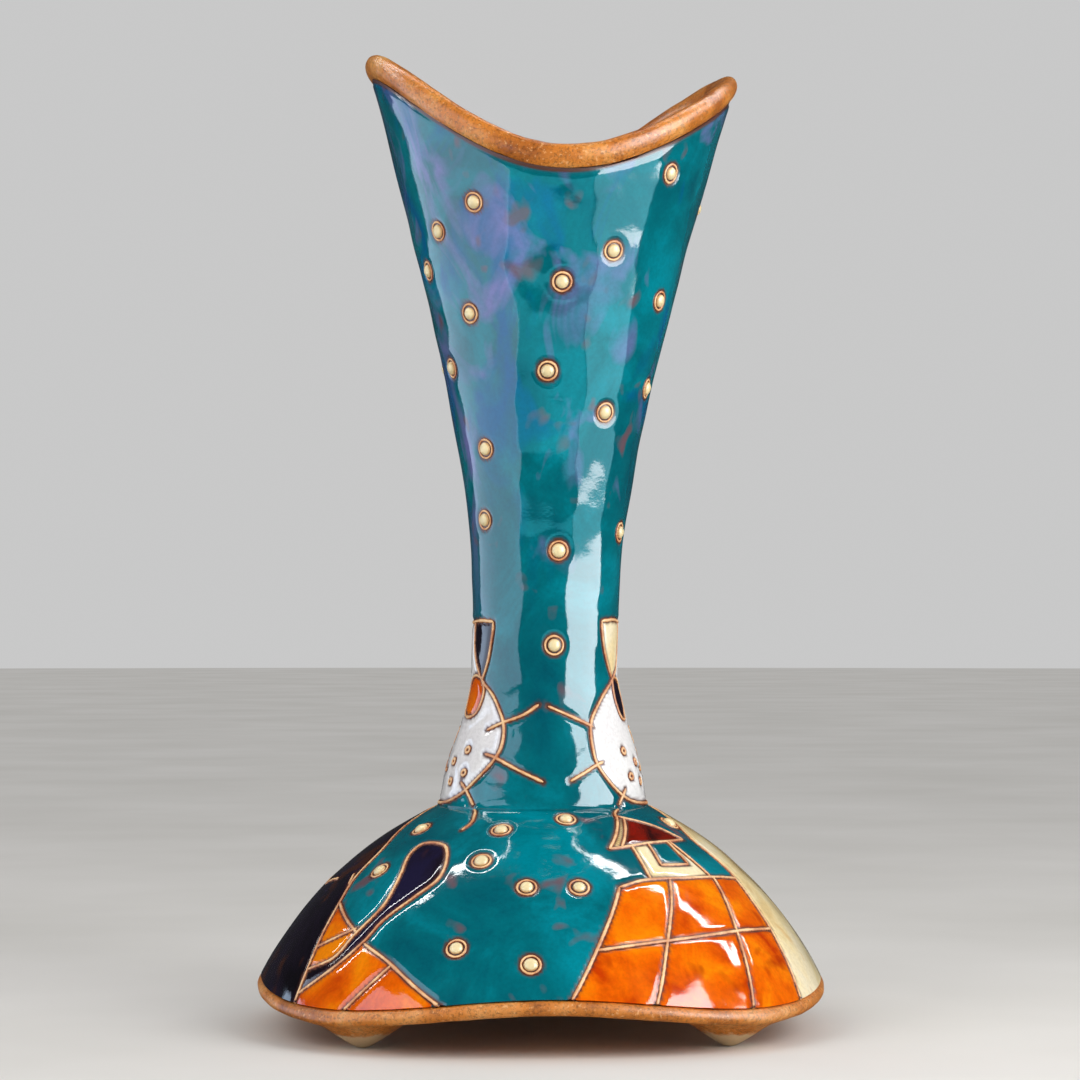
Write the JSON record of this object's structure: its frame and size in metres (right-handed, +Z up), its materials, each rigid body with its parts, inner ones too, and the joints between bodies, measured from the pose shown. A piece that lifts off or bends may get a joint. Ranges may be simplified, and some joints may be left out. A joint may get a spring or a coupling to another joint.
{
  "type": "pottery vase",
  "caption": "Hand-built glazed stoneware vase: flared neck with a saddle-shaped rolled mouth on a domed, squared body with feet.",
  "frame": {"origin": "centre of the footprint, on the surface the feet stand on", "axes": "+Z up the vase; -Y is the front, where the mouth dips; +X is the viewer's right"},
  "size_m": [0.1454, 0.1454, 0.251],
  "materials": {
    "teal_glaze": "glossy mottled teal and turquoise glaze with patches of orange, navy, cream and white",
    "iron_washed_clay": "ochre-brown iron wash, unglazed, satin",
    "bare_clay": "pale buff bare clay with a thin brown wash, matt",
    "cream_slip": "cream glaze, glossy"
  },
  "bodies": {
    "root": {"floor_slab": "iron_washed_clay", "shoulder": "teal_glaze", "neck": "teal_glaze", "mouth_rim": "iron_washed_clay", "foot_front_left": "bare_clay", "foot_front_right": "bare_clay", "foot_back_left": "bare_clay", "foot_back_right": "bare_clay", "neck_bead_01": "cream_slip", "neck_bead_02": "cream_slip", "neck_bead_03": "cream_slip", "neck_bead_04": "cream_slip", "neck_bead_05": "cream_slip", "neck_bead_06": "cream_slip", "neck_bead_07": "cream_slip", "neck_bead_08": "cream_slip", "neck_bead_09": "cream_slip", "neck_bead_10": "cream_slip", "neck_bead_11": "cream_slip", "neck_bead_12": "cream_slip", "neck_bead_13": "cream_slip", "neck_bead_14": "cream_slip", "neck_bead_15": "cream_slip", "neck_bead_16": "cream_slip", "neck_bead_17": "cream_slip", "neck_bead_18": "cream_slip", "neck_bead_19": "cream_slip", "neck_bead_20": "cream_slip", "neck_bead_21": "cream_slip", "neck_bead_22": "cream_slip", "neck_bead_23": "cream_slip", "neck_bead_24": "cream_slip", "neck_bead_25": "cream_slip", "neck_bead_26": "cream_slip", "neck_bead_27": "cream_slip", "neck_bead_28": "cream_slip", "neck_bead_29": "cream_slip", "neck_bead_30": "cream_slip", "neck_bead_31": "cream_slip", "neck_bead_32": "cream_slip", "shoulder_bead_01": "cream_slip", "shoulder_bead_02": "cream_slip", "shoulder_bead_03": "cream_slip", "shoulder_bead_04": "cream_slip", "shoulder_bead_05": "cream_slip", "shoulder_bead_06": "cream_slip", "shoulder_bead_07": "cream_slip", "shoulder_bead_08": "cream_slip", "shoulder_bead_09": "cream_slip", "shoulder_bead_10": "cream_slip", "shoulder_bead_11": "cream_slip", "shoulder_bead_12": "cream_slip", "shoulder_bead_13": "cream_slip", "shoulder_bead_14": "cream_slip", "shoulder_bead_15": "cream_slip", "shoulder_bead_16": "cream_slip", "shoulder_bead_17": "cream_slip", "shoulder_bead_18": "cream_slip", "shoulder_bead_19": "cream_slip", "shoulder_bead_20": "cream_slip"}
  },
  "joints": []
}
